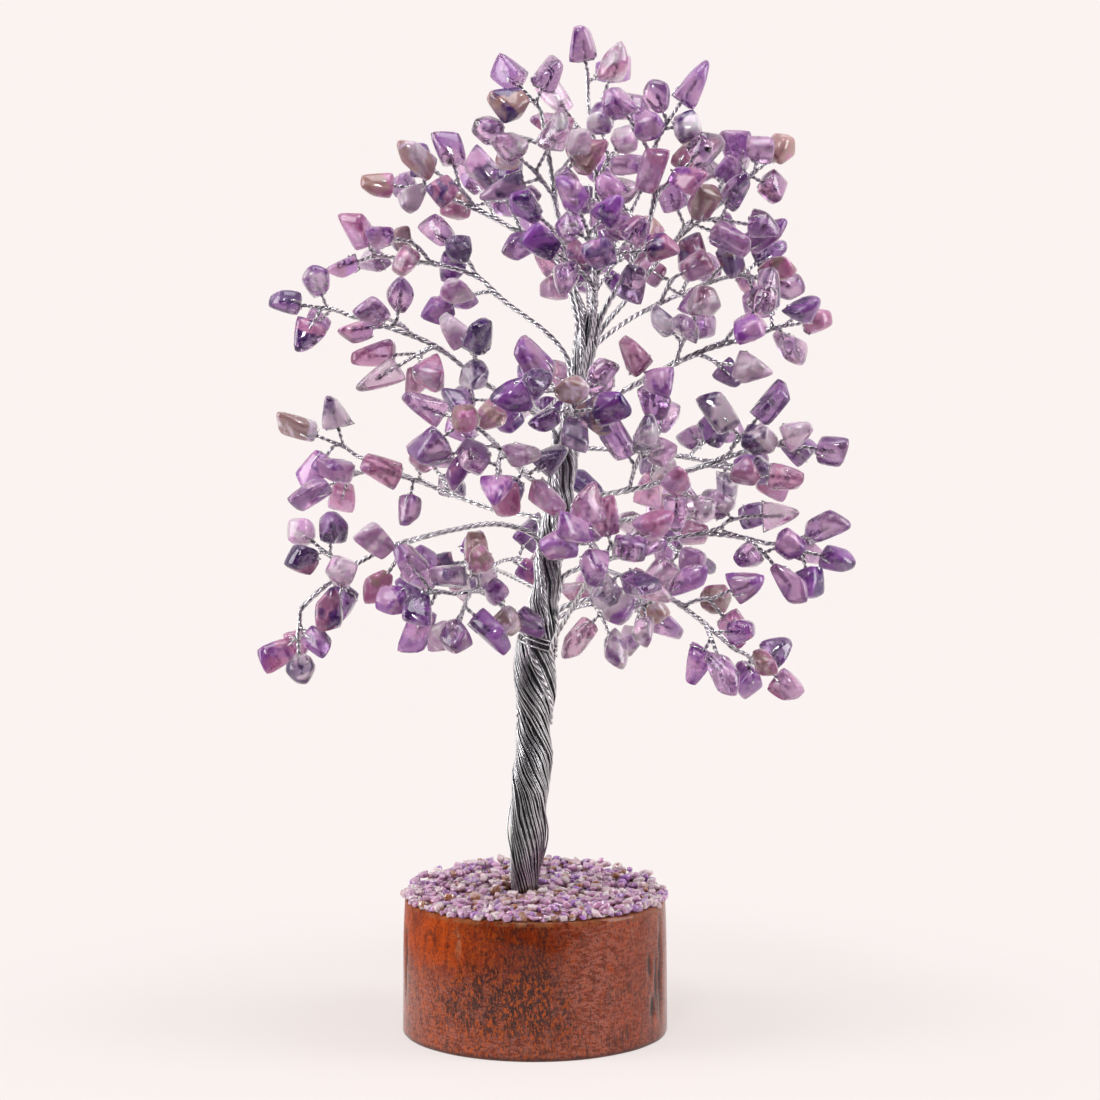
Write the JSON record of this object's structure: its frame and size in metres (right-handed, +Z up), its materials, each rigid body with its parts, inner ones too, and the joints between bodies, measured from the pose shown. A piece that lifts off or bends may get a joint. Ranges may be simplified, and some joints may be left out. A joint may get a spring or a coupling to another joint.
{
  "type": "gemstone tree ornament",
  "caption": "Bonsai-like tree ornament: drilled amethyst chips on twisted silver wire branches, a rope-twisted wire trunk, gravel of small chips, on a lacquered log slice",
  "frame": {"origin": "centre of the log slice's flat underside", "axes": "+Z up along the log's axis, -Y towards the viewer of the picture, +X to the viewer's right"},
  "size_m": [0.1536, 0.1232, 0.2633],
  "materials": {
    "lacquered_wood": "debarked log under red-brown gloss lacquer",
    "glue": "clear set glue",
    "gravel_chips": "pale tumbled chips",
    "silver_wire": "bright drawn wire",
    "amethyst": "glossy translucent tumbled stone, pale lilac to deep violet"
  },
  "bodies": {
    "stand": {"wood_base": "lacquered_wood", "glue_plug": "glue", "glue_bed": "glue", "gravel": "gravel_chips", "trunk_lower": "silver_wire", "trunk_middle": "silver_wire", "trunk_upper": "silver_wire"},
    "low_left_front_limb": {"low_left_front_wire": "silver_wire", "low_left_front_stones": "amethyst"},
    "low_left_up_limb": {"low_left_up_wire": "silver_wire", "low_left_up_stones": "amethyst"},
    "low_left_inner_limb": {"low_left_inner_wire": "silver_wire", "low_left_inner_stones": "amethyst"},
    "mid_left_inner_limb": {"mid_left_inner_wire": "silver_wire", "mid_left_inner_stones": "amethyst"},
    "mid_left_limb": {"mid_left_wire": "silver_wire", "mid_left_stones": "amethyst"},
    "upper_left_limb": {"upper_left_wire": "silver_wire", "upper_left_stones": "amethyst"},
    "top_left_limb": {"top_left_wire": "silver_wire", "top_left_stones": "amethyst"},
    "left_leader_limb": {"left_leader_wire": "silver_wire", "left_leader_stones": "amethyst"},
    "top_leader_limb": {"top_leader_wire": "silver_wire", "top_leader_stones": "amethyst"},
    "right_leader_limb": {"right_leader_wire": "silver_wire", "right_leader_stones": "amethyst"},
    "top_right_limb": {"top_right_wire": "silver_wire", "top_right_stones": "amethyst"},
    "upper_right_limb": {"upper_right_wire": "silver_wire", "upper_right_stones": "amethyst"},
    "mid_right_limb": {"mid_right_wire": "silver_wire", "mid_right_stones": "amethyst"},
    "mid_right_back_limb": {"mid_right_back_wire": "silver_wire", "mid_right_back_stones": "amethyst"},
    "right_limb": {"right_wire": "silver_wire", "right_stones": "amethyst"},
    "front_low_limb": {"front_low_wire": "silver_wire", "front_low_stones": "amethyst"},
    "low_right_limb": {"low_right_wire": "silver_wire", "low_right_stones": "amethyst"},
    "lowest_right_limb": {"lowest_right_wire": "silver_wire", "lowest_right_stones": "amethyst"},
    "low_right_inner_limb": {"low_right_inner_wire": "silver_wire", "low_right_inner_stones": "amethyst"},
    "front_mid_limb": {"front_mid_wire": "silver_wire", "front_mid_stones": "amethyst"},
    "front_upper_limb": {"front_upper_wire": "silver_wire", "front_upper_stones": "amethyst"},
    "back_low_left_limb": {"back_low_left_wire": "silver_wire", "back_low_left_stones": "amethyst"},
    "back_low_right_limb": {"back_low_right_wire": "silver_wire", "back_low_right_stones": "amethyst"},
    "back_mid_limb": {"back_mid_wire": "silver_wire", "back_mid_stones": "amethyst"},
    "back_upper_limb": {"back_upper_wire": "silver_wire", "back_upper_stones": "amethyst"}
  },
  "joints": [
    {"name": "low_left_front_bend", "type": "hinge", "parent": "stand", "child": "low_left_front_limb", "pos_m": [0.00087, -0.00153, 0.13066], "axis": [-0.3625, 0.932, 0], "range_deg": [-7, 10]},
    {"name": "low_left_up_bend", "type": "hinge", "parent": "stand", "child": "low_left_up_limb", "pos_m": [0.00171, 0.0016, 0.13518], "axis": [0.391, 0.9204, 0], "range_deg": [-10, 10]},
    {"name": "low_left_inner_bend", "type": "hinge", "parent": "stand", "child": "low_left_inner_limb", "pos_m": [-0.002, -0.00341, 0.10467], "axis": [-0.766, 0.6429, 0], "range_deg": [-10, 5]},
    {"name": "mid_left_inner_bend", "type": "hinge", "parent": "stand", "child": "mid_left_inner_limb", "pos_m": [0.00381, -0.00335, 0.14196], "axis": [-0.784, 0.6207, 0], "range_deg": [-7, 5]},
    {"name": "mid_left_bend", "type": "hinge", "parent": "stand", "child": "mid_left_limb", "pos_m": [0.00578, -0.0007, 0.15778], "axis": [-0.2249, 0.9744, 0], "range_deg": [-8, 10]},
    {"name": "upper_left_bend", "type": "hinge", "parent": "stand", "child": "upper_left_limb", "pos_m": [0.00934, 0.00115, 0.17586], "axis": [0.3586, 0.9335, 0], "range_deg": [-10, 3]},
    {"name": "top_left_bend", "type": "hinge", "parent": "stand", "child": "top_left_limb", "pos_m": [0.01146, 0.00193, 0.18603], "axis": [0.5591, 0.8291, 0], "range_deg": [-3.5, 3]},
    {"name": "left_leader_bend", "type": "hinge", "parent": "stand", "child": "left_leader_limb", "pos_m": [0.01208, -0.00216, 0.18829], "axis": [-0.6273, 0.7788, 0], "range_deg": [-10, 2.5]},
    {"name": "top_leader_bend", "type": "hinge", "parent": "stand", "child": "top_leader_limb", "pos_m": [0.01551, 0.00345, 0.18942], "axis": [0.9882, -0.1533, 0], "range_deg": [-10, 2]},
    {"name": "right_leader_bend", "type": "hinge", "parent": "stand", "child": "right_leader_limb", "pos_m": [0.01762, -0.00163, 0.18829], "axis": [-0.4943, -0.8693, 0], "range_deg": [-5, 2]},
    {"name": "top_right_bend", "type": "hinge", "parent": "stand", "child": "top_right_limb", "pos_m": [0.01681, 0.00131, 0.18377], "axis": [0.4082, -0.9129, 0], "range_deg": [-2.2, 4]},
    {"name": "upper_right_bend", "type": "hinge", "parent": "stand", "child": "upper_right_limb", "pos_m": [0.01552, 0.00196, 0.18038], "axis": [0.6474, -0.7622, 0], "range_deg": [-10, 2.2]},
    {"name": "mid_right_bend", "type": "hinge", "parent": "stand", "child": "mid_right_limb", "pos_m": [0.01244, -0.00144, 0.16343], "axis": [-0.4929, -0.8701, 0], "range_deg": [-5, 3.5]},
    {"name": "mid_right_back_bend", "type": "hinge", "parent": "stand", "child": "mid_right_back_limb", "pos_m": [0.01017, 0.00177, 0.15326], "axis": [0.6553, -0.7554, 0], "range_deg": [-4.5, 10]},
    {"name": "right_bend", "type": "hinge", "parent": "stand", "child": "right_limb", "pos_m": [0.00938, -0.00243, 0.13857], "axis": [-0.5801, -0.8146, 0], "range_deg": [-3, 4.5]},
    {"name": "front_low_bend", "type": "hinge", "parent": "stand", "child": "front_low_limb", "pos_m": [0.00371, -0.0051, 0.10128], "axis": [-0.8343, -0.5513, 0], "range_deg": [-6, 3.5]},
    {"name": "low_right_bend", "type": "hinge", "parent": "stand", "child": "low_right_limb", "pos_m": [0.00736, -0.00091, 0.12049], "axis": [-0.2178, -0.976, 0], "range_deg": [-3.5, 2.5]},
    {"name": "lowest_right_bend", "type": "hinge", "parent": "stand", "child": "lowest_right_limb", "pos_m": [0.00536, -0.00235, 0.11145], "axis": [-0.5613, -0.8276, 0], "range_deg": [-10, 3.5]},
    {"name": "low_right_inner_bend", "type": "hinge", "parent": "stand", "child": "low_right_inner_limb", "pos_m": [0.00414, 0.00305, 0.10693], "axis": [0.7198, -0.6941, 0], "range_deg": [-10, 6]},
    {"name": "front_mid_bend", "type": "hinge", "parent": "stand", "child": "front_mid_limb", "pos_m": [0.00914, -0.00285, 0.15891], "axis": [-0.9992, -0.0402, 0], "range_deg": [-5, 10]},
    {"name": "front_upper_bend", "type": "hinge", "parent": "stand", "child": "front_upper_limb", "pos_m": [0.01276, -0.00304, 0.1736], "axis": [-0.9616, -0.2745, 0], "range_deg": [-10, 3.5]},
    {"name": "back_low_left_bend", "type": "hinge", "parent": "stand", "child": "back_low_left_limb", "pos_m": [0.00043, 0.00356, 0.11597], "axis": [0.8572, 0.5149, 0], "range_deg": [-10, 10]},
    {"name": "back_low_right_bend", "type": "hinge", "parent": "stand", "child": "back_low_right_limb", "pos_m": [0.00612, 0.00367, 0.12501], "axis": [0.8597, -0.5108, 0], "range_deg": [-7, 5.5]},
    {"name": "back_mid_bend", "type": "hinge", "parent": "stand", "child": "back_mid_limb", "pos_m": [0.00696, 0.00427, 0.151], "axis": [0.981, 0.1942, 0], "range_deg": [-10, 10]},
    {"name": "back_upper_bend", "type": "hinge", "parent": "stand", "child": "back_upper_limb", "pos_m": [0.01233, 0.00311, 0.1736], "axis": [0.99, -0.1412, 0], "range_deg": [-10, 5.5]}
  ]
}
